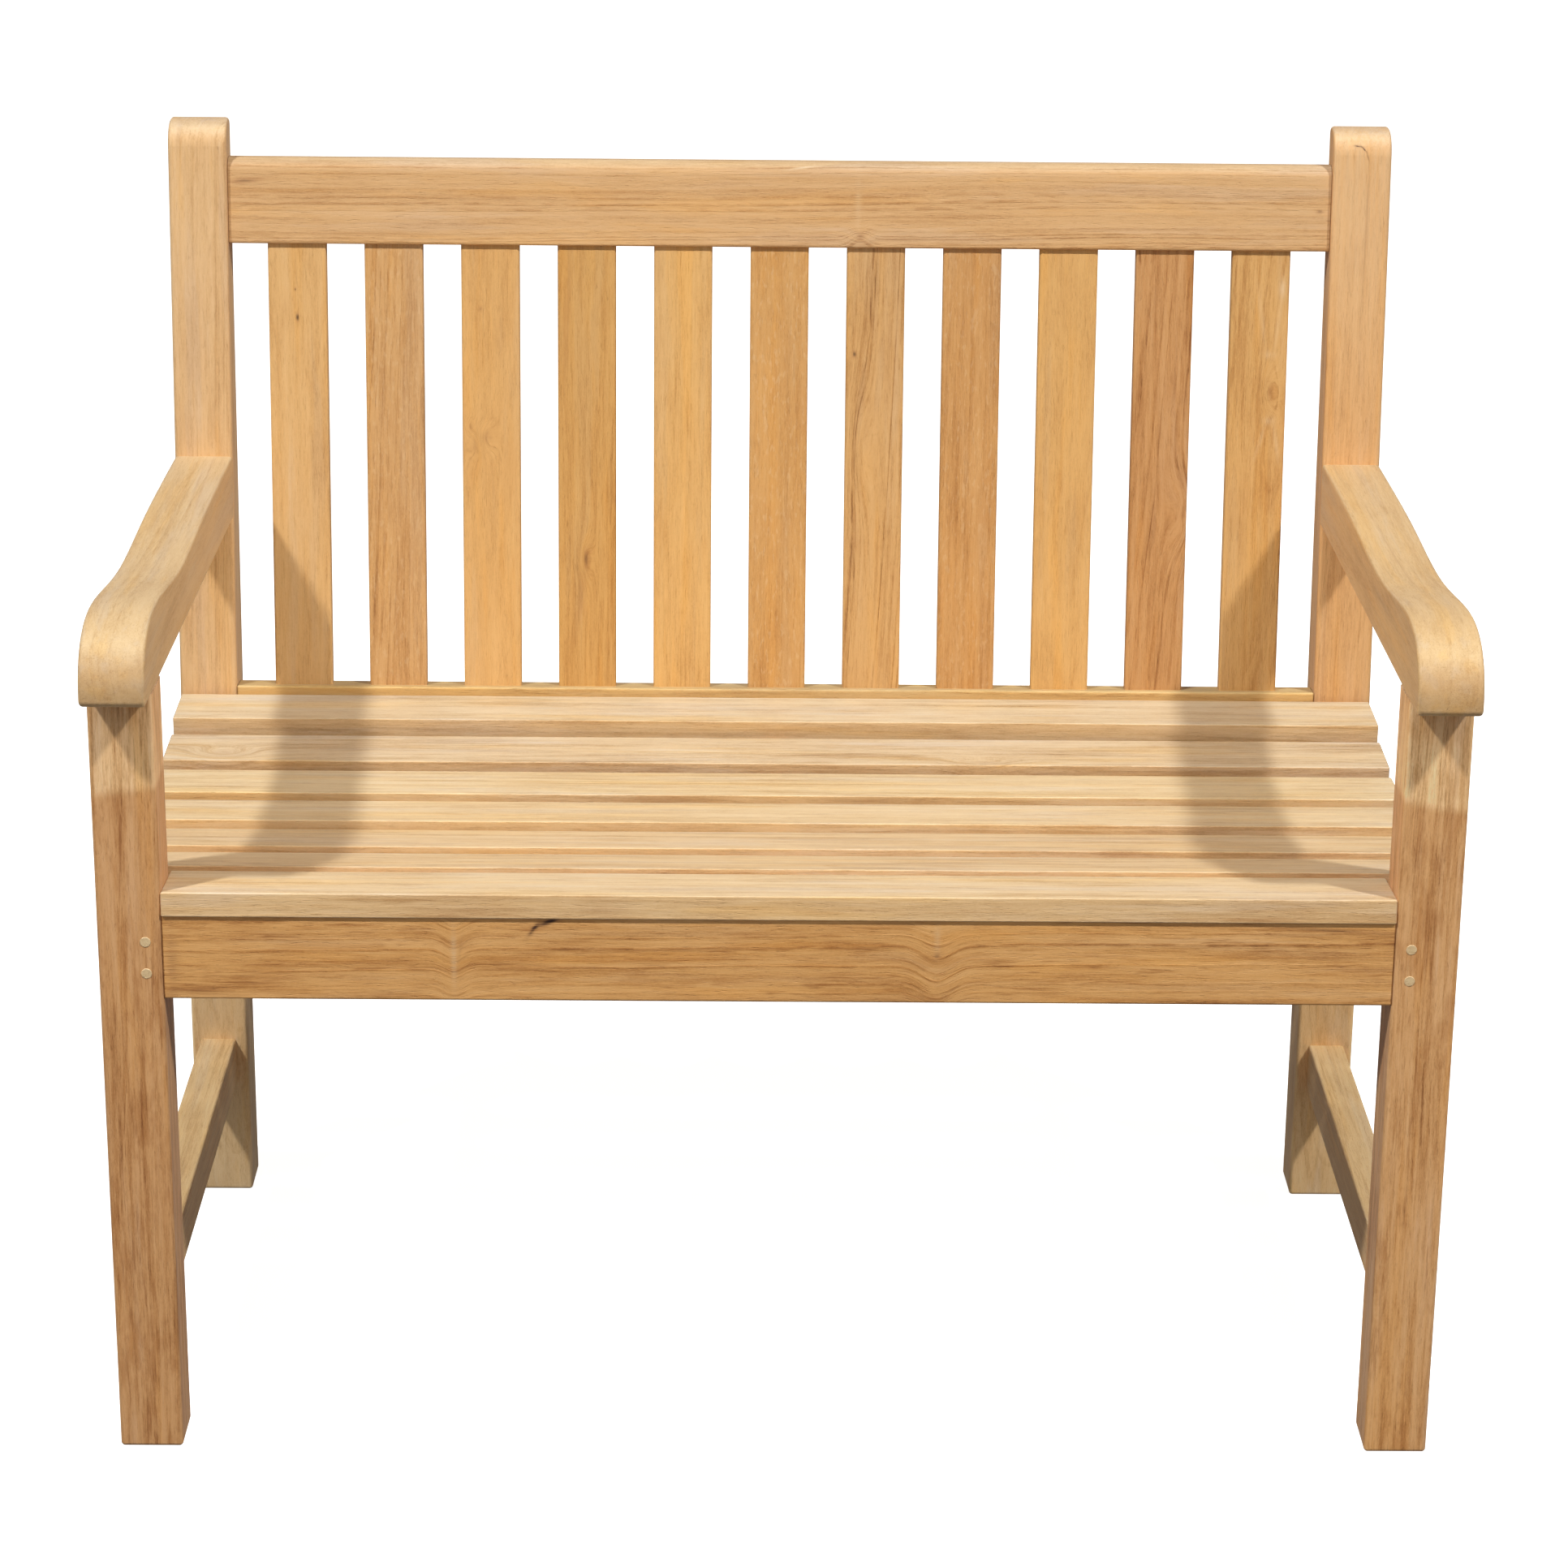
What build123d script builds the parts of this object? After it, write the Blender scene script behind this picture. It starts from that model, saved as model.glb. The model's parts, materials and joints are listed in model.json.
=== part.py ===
from build123d import *
from math import atan2, cos, radians, sin, tan
import os

# Two-seat slatted garden bench in solid teak, mortised, pegged and glued.
#
# Frame: X to the right for someone facing the bench, Y from front to back, Z up.
# The origin is on the ground under the middle of the bounding box.  Sizes are in
# millimetres.

# Overall
BENCH_WIDTH = 1000.0
BENCH_DEPTH = 600.0
BENCH_HEIGHT = 922.0

# Legs
LEG_WIDTH = 47.5
FRONT_LEG_DEPTH = 47.5
REAR_LEG_DEPTH = 47.5
NOSE_OVERHANG = 35.0
LEG_SPACING = 470.0
BEND_HEIGHT = 345.0
BEND_RADIUS = 400.0
POST_TOP_SETBACK = 64.0
POST_TOP_DEPTH = 31.65
POST_TOP_FRONT_ROUND = 22.0
POST_TOP_REAR_ROUND = 7.0
LEG_EASE = 3.0
FOOT_EASE = 3.0

# Armrests
ARM_UNDERSIDE_FRONT = 605.0
ARM_UNDERSIDE_REAR = 598.0
ARM_REAR_TOP = 649.5
ARM_EASE = 3.0
ARM_NOSE_CORNER = 5.0
# Stations along the top of the armrest: distance behind the front leg's face, height.
ARM_TOP_STATIONS = (
    (-35.0, 613.0),
    (-32.0, 629.0),
    (-21.0, 645.0),
    (0.0, 656.5),
    (27.0, 661.0),
    (65.0, 659.5),
    (120.0, 653.0),
    (180.0, 648.0),
    (235.0, 648.0),
    (310.0, 650.5),
    (400.0, 651.0),
)

# Seat slats, from the front one to the back one
SEAT_SLAT_WIDTH = 60.0
SEAT_SLAT_THICKNESS = 18.5
SEAT_SLAT_PITCH = 69.5
SEAT_SLAT_END_INSET = 2.0
SEAT_SLAT_FRONT_ROUND = 1.2
SEAT_SLAT_REAR_ROUND = 3.0
SEAT_SLAT_UNDER_ROUND = 1.0
SEAT_SLAT_END_EASE = 0.8
SEAT_TOP_HEIGHTS = (450.5, 443.0, 435.5, 433.3, 433.2, 438.2, 451.0)
SEAT_SLAT_TILTS = (-4.1, -10.0, -7.2, -4.1, -1.3, 2.2, 1.8)

# Seat frame
APRON_BOTTOM = 368.8
APRON_SETBACK = 0.8
APRON_THICKNESS = 24.0
SIDE_RAIL_SETBACK = 4.0
SIDE_RAIL_THICKNESS = 24.0
BEARER_THICKNESS = 24.0
BEARER_BOTTOM = 385.0
RAIL_EASE = 2.0

# Back, measured in the raked frame of the post's front face
BOTTOM_RAIL_SETBACK = 1.0
BOTTOM_RAIL_THICKNESS = 26.0
BOTTOM_RAIL_START = 23.0
BOTTOM_RAIL_HEIGHT = 89.5
TOP_RAIL_SETBACK = 5.0
TOP_RAIL_THICKNESS = 24.0
TOP_RAIL_START = 482.0
TOP_RAIL_HEIGHT = 70.0
TOP_RAIL_FRONT_ROUND = 10.0
TOP_RAIL_REAR_ROUND = 5.0
BACK_SLAT_COUNT = 11
BACK_SLAT_WIDTH = 48.0
BACK_SLAT_THICKNESS = 12.0
BACK_SLAT_SETBACK = 9.0
BACK_SLAT_HOUSING = 12.0
BACK_SLAT_EASE = 2.0

# Low side stretchers
STRETCHER_WIDTH = 30.0
STRETCHER_INSET = 7.5
STRETCHER_BOTTOM = 100.5
STRETCHER_HEIGHT = 41.0

# Joints
TENON_THICKNESS = 10.0
TENON_SHOULDER = 10.0
APRON_TENON = 30.0
SIDE_RAIL_TENON = 22.0
BACK_RAIL_TENON = 24.0
BEARER_TENON = 14.0
STRETCHER_TENON = 22.0
ARM_TENON = 18.0
ARM_TENON_WIDTH = 20.0
ARM_TENON_BOTTOM = 611.0
ARM_TENON_TOP = 637.0
LEG_TENON_WIDTH = 24.0
LEG_TENON_TOP = 632.0

# Pegs through the front legs
PEG_DIAMETER = 8.0
PEG_LENGTH = 33.0
PEG_PROUD = 0.4
PEG_FROM_SHOULDER = 12.3
PEG_SPACING = 24.8

# Screws that hold the seat slats from below
SCREW_SHANK = 4.0
SCREW_HEAD = 8.0
SCREW_HEAD_HEIGHT = 3.0
SCREW_BITE = 11.0
SCREW_COVER = 22.0
APRON_SCREW_X = (-380.0, -150.0, 150.0, 380.0)

# Positions that follow from the sizes above
HALF_WIDTH = BENCH_WIDTH / 2
INNER_X = HALF_WIDTH - LEG_WIDTH
FRONT_Y = NOSE_OVERHANG - BENCH_DEPTH / 2
FRONT_LEG_BACK_Y = FRONT_Y + FRONT_LEG_DEPTH
REAR_Y = FRONT_Y + LEG_SPACING
RAKE = atan2(POST_TOP_SETBACK, BENCH_HEIGHT - BEND_HEIGHT)
FRONT_SLAT_RISE = SEAT_SLAT_WIDTH / 2 * sin(radians(-SEAT_SLAT_TILTS[0]))
APRON_TOP = SEAT_TOP_HEIGHTS[0] - SEAT_SLAT_THICKNESS + FRONT_SLAT_RISE
SEAT_DIP = min(SEAT_TOP_HEIGHTS) - SEAT_SLAT_THICKNESS
APRON_FRONT_Y = FRONT_Y + APRON_SETBACK
APRON_BACK_Y = APRON_FRONT_Y + APRON_THICKNESS
SIDE_RAIL_OUTER_X = SIDE_RAIL_SETBACK - HALF_WIDTH
SIDE_RAIL_X = (SIDE_RAIL_OUTER_X, SIDE_RAIL_OUTER_X + SIDE_RAIL_THICKNESS)
SIDE_RAIL_MIDDLE = sum(SIDE_RAIL_X) / 2
STRETCHER_X = (STRETCHER_INSET - HALF_WIDTH, STRETCHER_INSET + STRETCHER_WIDTH - HALF_WIDTH)
LEG_MIDDLE = LEG_WIDTH / 2 - HALF_WIDTH
FAR = 200.0

# Setback, thickness, start along the post and height of each back rail
BOTTOM_RAIL = (BOTTOM_RAIL_SETBACK, BOTTOM_RAIL_THICKNESS, BOTTOM_RAIL_START, BOTTOM_RAIL_HEIGHT)
TOP_RAIL = (TOP_RAIL_SETBACK, TOP_RAIL_THICKNESS, TOP_RAIL_START, TOP_RAIL_HEIGHT)

# The raked frame: X as in the bench, Y back through the post, Z up along its face
BACK = Plane(
    origin=(0, REAR_Y, BEND_HEIGHT),
    x_dir=(1, 0, 0),
    z_dir=(0, sin(RAKE), cos(RAKE)),
)


def block(x_range, y_range, z_range):
    """A box between three pairs of limits."""
    size = [high - low for low, high in (x_range, y_range, z_range)]
    middle = [(high + low) / 2 for low, high in (x_range, y_range, z_range)]
    return Pos(*middle) * Box(*size)


def eased(solid, axis, radius):
    """The solid with the edges that run along an axis rounded."""
    return fillet(solid.edges().filter_by(axis), radius)


def top_edges(solid):
    """The highest edges along the bench, from front to back."""
    return solid.edges().filter_by(Axis.X).group_by(Axis.Z)[-1].sort_by(Axis.Y)


def bottom_edges(solid):
    """The lowest edges along the bench."""
    return solid.edges().filter_by(Axis.X).group_by(Axis.Z)[0]


def side_profile(points, x_range):
    """A solid with a polygonal side view of (y, z) points, between two x limits."""
    face = Plane.YZ * make_face(Polyline(*points, close=True))
    return Pos(x_range[0], 0, 0) * extrude(face, x_range[1] - x_range[0])


def post_face_y(height):
    """Where the front face of the raked post is at a height."""
    return REAR_Y + (height - BEND_HEIGHT) * tan(RAKE)


def arm_underside(y):
    """The height of the armrest's straight underside at a depth."""
    front = FRONT_Y - NOSE_OVERHANG
    run = post_face_y(ARM_UNDERSIDE_REAR) - front
    return ARM_UNDERSIDE_FRONT + (ARM_UNDERSIDE_REAR - ARM_UNDERSIDE_FRONT) * (y - front) / run


def slat_frame(index):
    """The frame of a seat slat: origin at the middle of its top, Y along its tilt."""
    tilt = radians(SEAT_SLAT_TILTS[index])
    middle = FRONT_Y + index * SEAT_SLAT_PITCH + SEAT_SLAT_WIDTH / 2
    return Plane(
        origin=(0, middle, SEAT_TOP_HEIGHTS[index]),
        x_dir=(1, 0, 0),
        z_dir=(0, -sin(tilt), cos(tilt)),
    )


def slat_underside(index):
    """The front and back (y, z) points of a seat slat's underside."""
    frame = slat_frame(index)
    half = SEAT_SLAT_WIDTH / 2
    ends = [frame.from_local_coords((0, y, -SEAT_SLAT_THICKNESS)) for y in (-half, half)]
    return [(point.Y, point.Z) for point in ends]


def underside_height(index, y):
    """The height of a seat slat's underside at y, or at its nearer edge when y is past it."""
    (front_y, front_z), (back_y, back_z) = slat_underside(index)
    share = (y - front_y) / (back_y - front_y)
    return front_z + (back_z - front_z) * min(max(share, 0.0), 1.0)


def slat_blank(index):
    """A seat slat before its edges are rounded."""
    half = SEAT_SLAT_WIDTH / 2
    blank = block((-HALF_WIDTH, HALF_WIDTH), (-half, half), (-SEAT_SLAT_THICKNESS, 0))
    return slat_frame(index) * blank


def seat_support(first_slat, front_y, back_plane_offset, bottom):
    """The side view of a member whose top carries the slats from one slat back."""
    top = []
    for index in range(first_slat, len(SEAT_TOP_HEIGHTS)):
        top += slat_underside(index)
    top = [point for point in top if point[0] > front_y]
    front_height = underside_height(first_slat, front_y)
    last_height = top[-1][1]
    limit = post_face_y(last_height) + back_plane_offset
    if top[-1][0] >= limit:
        top[-1] = (limit, last_height)
    else:
        top.append((limit, last_height))
    low_back = (post_face_y(bottom) + back_plane_offset, bottom)
    return [(front_y, bottom), (front_y, front_height), *top, low_back]


def peg_places():
    """The x and z of the four pegs in the front legs."""
    middle = (APRON_BOTTOM + APRON_TOP) / 2
    across = INNER_X + PEG_FROM_SHOULDER
    return [(side * across, middle + up * PEG_SPACING / 2) for side in (-1, 1) for up in (-1, 1)]


def pegs():
    """The pegs, their front ends a little proud of the leg."""
    turn = Rot(-90, 0, 0)
    middle = FRONT_Y - PEG_PROUD + PEG_LENGTH / 2
    blank = chamfer(Cylinder(PEG_DIAMETER / 2, PEG_LENGTH).edges(), PEG_PROUD)
    return [Pos(x, middle, z) * turn * blank for x, z in peg_places()]


def peg_bores():
    """The bores that the pegs fill."""
    middle = FRONT_Y - PEG_PROUD + PEG_LENGTH / 2
    bore = Rot(-90, 0, 0) * Cylinder(PEG_DIAMETER / 2, PEG_LENGTH)
    return [Pos(x, middle, z) * bore for x, z in peg_places()]


def screw_places():
    """For each screw: its x, its y, its slat and the underside it is driven from."""
    places = [(x, (APRON_FRONT_Y + APRON_BACK_Y) / 2, 0, APRON_BOTTOM) for x in APRON_SCREW_X]
    for index in range(1, len(SEAT_TOP_HEIGHTS)):
        y = slat_frame(index).origin.Y
        places.append((SIDE_RAIL_MIDDLE, y, index, APRON_BOTTOM))
        places.append((0.0, y, index, BEARER_BOTTOM))
        places.append((-SIDE_RAIL_MIDDLE, y, index, APRON_BOTTOM))
    return places


def upright(radius, low, high):
    """A cylinder round the Z axis between two heights."""
    return Pos(0, 0, (low + high) / 2) * Cylinder(radius, high - low)


def screw(place):
    """A plain screw with a flat head, tip up."""
    x, y, index, _ = place
    seat = SEAT_TOP_HEIGHTS[index] - SEAT_SLAT_THICKNESS
    low = seat - SCREW_COVER
    shank = upright(SCREW_SHANK / 2, low, seat + SCREW_BITE)
    tip = shank.edges().sort_by(Axis.Z)[-1]
    head = upright(SCREW_HEAD / 2, low - SCREW_HEAD_HEIGHT, low)
    return Pos(x, y, 0) * (chamfer(tip, SCREW_SHANK / 4) + head)


def screw_bore(place):
    """The shank's bore and the wider bore that the head goes up."""
    x, y, index, underside = place
    seat = SEAT_TOP_HEIGHTS[index] - SEAT_SLAT_THICKNESS
    low = seat - SCREW_COVER
    shank = upright(SCREW_SHANK / 2, low, seat + SCREW_BITE)
    access = upright(SCREW_HEAD / 2, underside - 1, low)
    return Pos(x, y, 0) * (shank + access)


def bores_near(x_range, slats):
    """The screw bores within an x range that belong to some of the slats."""
    places = [p for p in screw_places() if x_range[0] < p[0] < x_range[1] and p[2] in slats]
    return [screw_bore(place) for place in places]


def apron_tenon():
    """The left tenon of the apron."""
    y = (APRON_FRONT_Y + APRON_BACK_Y) / 2
    return block(
        (-INNER_X - APRON_TENON, -INNER_X + 1),
        (y - TENON_THICKNESS / 2, y + TENON_THICKNESS / 2),
        (APRON_BOTTOM + TENON_SHOULDER, APRON_TOP - TENON_SHOULDER),
    )


def side_rail_tenons():
    """The front and rear tenons of the left side rail."""
    x = (SIDE_RAIL_MIDDLE - TENON_THICKNESS / 2, SIDE_RAIL_MIDDLE + TENON_THICKNESS / 2)
    z = (APRON_BOTTOM + TENON_SHOULDER, SEAT_DIP - TENON_SHOULDER)
    front = block(x, (FRONT_LEG_BACK_Y - SIDE_RAIL_TENON, FRONT_LEG_BACK_Y + 1), z)
    rear = block(x, (REAR_Y - 1, REAR_Y + SIDE_RAIL_TENON), z)
    return front, rear


def stretcher_tenons():
    """The front and rear tenons of the left stretcher."""
    middle = sum(STRETCHER_X) / 2
    x = (middle - TENON_THICKNESS / 2, middle + TENON_THICKNESS / 2)
    z = (STRETCHER_BOTTOM + TENON_SHOULDER, STRETCHER_BOTTOM + STRETCHER_HEIGHT - TENON_SHOULDER)
    front = block(x, (FRONT_LEG_BACK_Y - STRETCHER_TENON, FRONT_LEG_BACK_Y + 1), z)
    rear = block(x, (REAR_Y - 1, REAR_Y + STRETCHER_TENON), z)
    return front, rear


def arm_tenon():
    """The tenon on the rear end of the left armrest."""
    face = post_face_y((ARM_TENON_BOTTOM + ARM_TENON_TOP) / 2)
    return block(
        (LEG_MIDDLE - ARM_TENON_WIDTH / 2, LEG_MIDDLE + ARM_TENON_WIDTH / 2),
        (face - 2 * TENON_SHOULDER, face + ARM_TENON),
        (ARM_TENON_BOTTOM, ARM_TENON_TOP),
    )


def leg_tenon():
    """The tenon on top of the left front leg."""
    y = FRONT_Y + FRONT_LEG_DEPTH / 2
    half = LEG_TENON_WIDTH / 2
    return block(
        (LEG_MIDDLE - half, LEG_MIDDLE + half),
        (y - half, y + half),
        (ARM_UNDERSIDE_REAR - TENON_SHOULDER, LEG_TENON_TOP),
    )


def back_rail_tenon(setback, thickness, start, height):
    """The left tenon of a back rail, in the raked frame."""
    middle = setback + thickness / 2
    return BACK * block(
        (-INNER_X - BACK_RAIL_TENON, -INNER_X + 1),
        (middle - TENON_THICKNESS / 2, middle + TENON_THICKNESS / 2),
        (start + TENON_SHOULDER, start + height - TENON_SHOULDER),
    )


def bottom_rail_tenon():
    """The left tenon of the back's bottom rail."""
    return back_rail_tenon(*BOTTOM_RAIL)


def top_rail_tenon():
    """The left tenon of the back's top rail."""
    return back_rail_tenon(*TOP_RAIL)


def bearer_tenons():
    """The front and rear stub tenons of the centre bearer."""
    x = (-TENON_THICKNESS / 2, TENON_THICKNESS / 2)
    z = (BEARER_BOTTOM + TENON_SHOULDER / 2, SEAT_DIP - TENON_SHOULDER / 2)
    back = post_face_y(BEARER_BOTTOM) + BOTTOM_RAIL_SETBACK
    front = block(x, (APRON_BACK_Y - BEARER_TENON, APRON_BACK_Y + 1), z)
    rear = block(x, (back - 1, back + BEARER_TENON), z)
    return front, rear


def front_leg():
    """The left front leg, mortised for the apron, side rail and stretcher."""
    leg = block(
        (-HALF_WIDTH, -INNER_X),
        (FRONT_Y, FRONT_LEG_BACK_Y),
        (0, ARM_UNDERSIDE_FRONT + FAR),
    )
    leg = eased(leg, Axis.Z, LEG_EASE)
    leg = fillet(leg.edges().group_by(Axis.Z)[0], FOOT_EASE)
    low, high = FRONT_Y - FAR, FRONT_LEG_BACK_Y + FAR
    roof = [(low, arm_underside(low)), (high, arm_underside(high)), (high, FAR * 6), (low, FAR * 6)]
    leg -= side_profile(roof, (-HALF_WIDTH - 1, -INNER_X + 1))
    leg += leg_tenon()
    leg -= apron_tenon()
    leg -= side_rail_tenons()[0]
    leg -= stretcher_tenons()[0]
    return leg - peg_bores()


def rear_leg():
    """The left rear leg and back post in one piece, bent at seat height."""
    back_y = REAR_Y + REAR_LEG_DEPTH
    top_front = REAR_Y + POST_TOP_SETBACK
    outline = Polyline(
        (REAR_Y, 0),
        (REAR_Y, BEND_HEIGHT),
        (top_front, BENCH_HEIGHT),
        (top_front + POST_TOP_DEPTH, BENCH_HEIGHT),
        (back_y, BEND_HEIGHT),
        (back_y, 0),
        close=True,
    )
    face = make_face(outline)
    bends = face.vertices().filter_by_position(Axis.Y, BEND_HEIGHT - 1, BEND_HEIGHT + 1)
    face = fillet(bends, BEND_RADIUS)
    face = fillet(face.vertices().group_by(Axis.Y)[-1].sort_by(Axis.X)[0], POST_TOP_FRONT_ROUND)
    face = fillet(face.vertices().sort_by(Axis.X)[-1], POST_TOP_REAR_ROUND)
    face = fillet(face.vertices().group_by(Axis.Y)[0], FOOT_EASE)
    leg = Pos(-HALF_WIDTH, 0, 0) * extrude(Plane.YZ * face, LEG_WIDTH)
    sides = leg.faces().filter_by(Axis.X)
    leg = fillet(sides.edges(), LEG_EASE)
    leg -= side_rail_tenons()[1]
    leg -= stretcher_tenons()[1]
    leg -= arm_tenon()
    leg -= bottom_rail_tenon()
    return leg - top_rail_tenon()


def armrest():
    """The left armrest: flat underneath, its top a long S that rolls over the nose."""
    nose_y = FRONT_Y - NOSE_OVERHANG
    top = [(FRONT_Y + back, height) for back, height in ARM_TOP_STATIONS]
    top.append((post_face_y(ARM_REAR_TOP), ARM_REAR_TOP))
    curve = Spline(*top)
    rest = Polyline(
        top[-1],
        (post_face_y(ARM_UNDERSIDE_REAR), ARM_UNDERSIDE_REAR),
        (nose_y, ARM_UNDERSIDE_FRONT),
        top[0],
    )
    face = make_face([curve, rest])
    nose_corner = face.vertices().sort_by_distance((nose_y, ARM_UNDERSIDE_FRONT))[0]
    face = fillet(nose_corner, ARM_NOSE_CORNER)
    arm = Pos(-HALF_WIDTH, 0, 0) * extrude(Plane.YZ * face, LEG_WIDTH)
    long_edges = []
    for side in arm.faces().filter_by(Axis.X):
        long_edges += side.edges().sort_by(Axis.Y)[:-1]
    arm = fillet(long_edges, ARM_EASE)
    arm += arm_tenon()
    return arm - leg_tenon()


def front_rail():
    """The apron, its top bevelled to the tilt of the front slat."""
    rail = block((-INNER_X, INNER_X), (APRON_FRONT_Y, APRON_BACK_Y), (APRON_BOTTOM, APRON_TOP))
    rail = fillet(bottom_edges(rail), RAIL_EASE)
    rail -= slat_blank(0)
    rail += apron_tenon()
    rail += mirror(apron_tenon(), Plane.YZ)
    rail -= bearer_tenons()[0]
    rail -= peg_bores()
    return rail - bores_near((-HALF_WIDTH, HALF_WIDTH), (0,))


def side_rail():
    """The left side rail, its top dished to carry the slats."""
    rail = side_profile(seat_support(1, FRONT_LEG_BACK_Y, 0.0, APRON_BOTTOM), SIDE_RAIL_X)
    for tenon in side_rail_tenons():
        rail += tenon
    return rail - bores_near((-HALF_WIDTH, -INNER_X), range(1, len(SEAT_TOP_HEIGHTS)))


def seat_bearer():
    """The bearer under the middle of the seat, from the apron to the back's bottom rail."""
    x_range = (-BEARER_THICKNESS / 2, BEARER_THICKNESS / 2)
    setback = BOTTOM_RAIL_SETBACK / cos(RAKE)
    bearer = side_profile(seat_support(0, APRON_BACK_Y, setback, BEARER_BOTTOM), x_range)
    for tenon in bearer_tenons():
        bearer += tenon
    return bearer - bores_near(x_range, range(1, len(SEAT_TOP_HEIGHTS)))


def stretcher():
    """The left stretcher, low between the front and rear legs."""
    bar = block(
        STRETCHER_X,
        (FRONT_LEG_BACK_Y, REAR_Y),
        (STRETCHER_BOTTOM, STRETCHER_BOTTOM + STRETCHER_HEIGHT),
    )
    bar = eased(bar, Axis.Y, RAIL_EASE)
    for tenon in stretcher_tenons():
        bar += tenon
    return bar


def back_slat_blanks():
    """The back slats, evenly spaced between the posts."""
    clear = 2 * INNER_X - BACK_SLAT_COUNT * BACK_SLAT_WIDTH
    pitch = BACK_SLAT_WIDTH + clear / (BACK_SLAT_COUNT + 1)
    depth = (BACK_SLAT_SETBACK, BACK_SLAT_SETBACK + BACK_SLAT_THICKNESS)
    low = BOTTOM_RAIL_START + BOTTOM_RAIL_HEIGHT - BACK_SLAT_HOUSING
    high = TOP_RAIL_START + BACK_SLAT_HOUSING
    slats = []
    for index in range(BACK_SLAT_COUNT):
        middle = (index - (BACK_SLAT_COUNT - 1) / 2) * pitch
        slat = block((middle - BACK_SLAT_WIDTH / 2, middle + BACK_SLAT_WIDTH / 2), depth, (low, high))
        slats.append(BACK * eased(slat, Axis.Z, BACK_SLAT_EASE))
    return slats


def back_rail(setback, thickness, start, height):
    """A back rail without its tenons, in the raked frame."""
    return block((-INNER_X, INNER_X), (setback, setback + thickness), (start, start + height))


def back_bottom_rail():
    """The rail at the back of the seat, which carries the slats and the bearer."""
    rail = back_rail(*BOTTOM_RAIL)
    rail = BACK * eased(rail, Axis.X, RAIL_EASE)
    rail += bottom_rail_tenon()
    rail += mirror(bottom_rail_tenon(), Plane.YZ)
    rail -= bearer_tenons()[1]
    return rail - back_slat_blanks()


def back_top_rail():
    """The top rail, its upper edges rounded over."""
    rail = back_rail(*TOP_RAIL)
    rail = fillet(top_edges(rail)[0], TOP_RAIL_FRONT_ROUND)
    rail = fillet(top_edges(rail)[-1], TOP_RAIL_REAR_ROUND)
    rail = fillet(bottom_edges(rail), RAIL_EASE)
    rail = BACK * rail
    rail += top_rail_tenon()
    rail += mirror(top_rail_tenon(), Plane.YZ)
    return rail - back_slat_blanks()


def seat_slat(index):
    """A seat slat, rounder at the back of its top than at the front."""
    half_length = INNER_X if index == 0 else HALF_WIDTH - SEAT_SLAT_END_INSET
    half = SEAT_SLAT_WIDTH / 2
    slat = block((-half_length, half_length), (-half, half), (-SEAT_SLAT_THICKNESS, 0))
    slat = fillet(top_edges(slat)[-1], SEAT_SLAT_REAR_ROUND)
    slat = fillet(top_edges(slat)[0], SEAT_SLAT_FRONT_ROUND)
    slat = fillet(bottom_edges(slat), SEAT_SLAT_UNDER_ROUND)
    ends = slat.faces().filter_by(Axis.X)
    slat = chamfer(ends.edges(), SEAT_SLAT_END_EASE)
    slat = slat_frame(index) * slat
    return slat - bores_near((-HALF_WIDTH, HALF_WIDTH), (index,))


def bench_parts():
    """Every node of the bench, by name."""
    pairs = {
        "front_leg": front_leg(),
        "rear_leg": rear_leg(),
        "armrest": armrest(),
        "side_rail": side_rail(),
        "stretcher": stretcher(),
    }
    parts = {}
    for name, shape in pairs.items():
        parts[name + "_left"] = shape
        parts[name + "_right"] = mirror(shape, Plane.YZ)
    parts["front_rail"] = front_rail()
    parts["seat_bearer"] = seat_bearer()
    parts["back_bottom_rail"] = back_bottom_rail()
    parts["back_top_rail"] = back_top_rail()
    for index, shape in enumerate(back_slat_blanks()):
        parts[f"back_slat_{index + 1:02d}"] = shape
    for index in range(len(SEAT_TOP_HEIGHTS)):
        parts[f"seat_slat_{index + 1}"] = seat_slat(index)
    parts["front_rail_pegs"] = Compound(children=pegs())
    parts["seat_slat_screws"] = Compound(children=[screw(place) for place in screw_places()])
    return parts


os.makedirs("parts", exist_ok=True)
for part_name, part_shape in bench_parts().items():
    export_step(part_shape, f"parts/{part_name}.step")
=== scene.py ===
import json
import math
from typing import NamedTuple

import bpy
from mathutils import Matrix, Vector


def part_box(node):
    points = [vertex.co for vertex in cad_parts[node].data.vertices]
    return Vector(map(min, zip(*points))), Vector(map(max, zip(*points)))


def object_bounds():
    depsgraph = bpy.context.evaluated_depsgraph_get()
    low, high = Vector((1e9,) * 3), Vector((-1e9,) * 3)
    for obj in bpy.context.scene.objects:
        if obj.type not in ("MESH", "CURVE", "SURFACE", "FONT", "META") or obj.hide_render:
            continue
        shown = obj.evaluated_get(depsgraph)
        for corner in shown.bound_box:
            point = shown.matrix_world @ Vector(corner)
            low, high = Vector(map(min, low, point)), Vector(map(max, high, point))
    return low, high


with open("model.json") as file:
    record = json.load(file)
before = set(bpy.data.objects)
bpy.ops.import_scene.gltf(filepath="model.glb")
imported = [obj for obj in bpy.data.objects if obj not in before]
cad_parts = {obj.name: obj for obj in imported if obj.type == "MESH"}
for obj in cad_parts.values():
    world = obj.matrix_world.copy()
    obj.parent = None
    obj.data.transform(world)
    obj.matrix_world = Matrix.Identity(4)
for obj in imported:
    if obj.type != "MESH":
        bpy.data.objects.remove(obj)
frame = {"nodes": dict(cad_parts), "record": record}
cad_low, cad_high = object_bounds()
MM = 0.001

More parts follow.
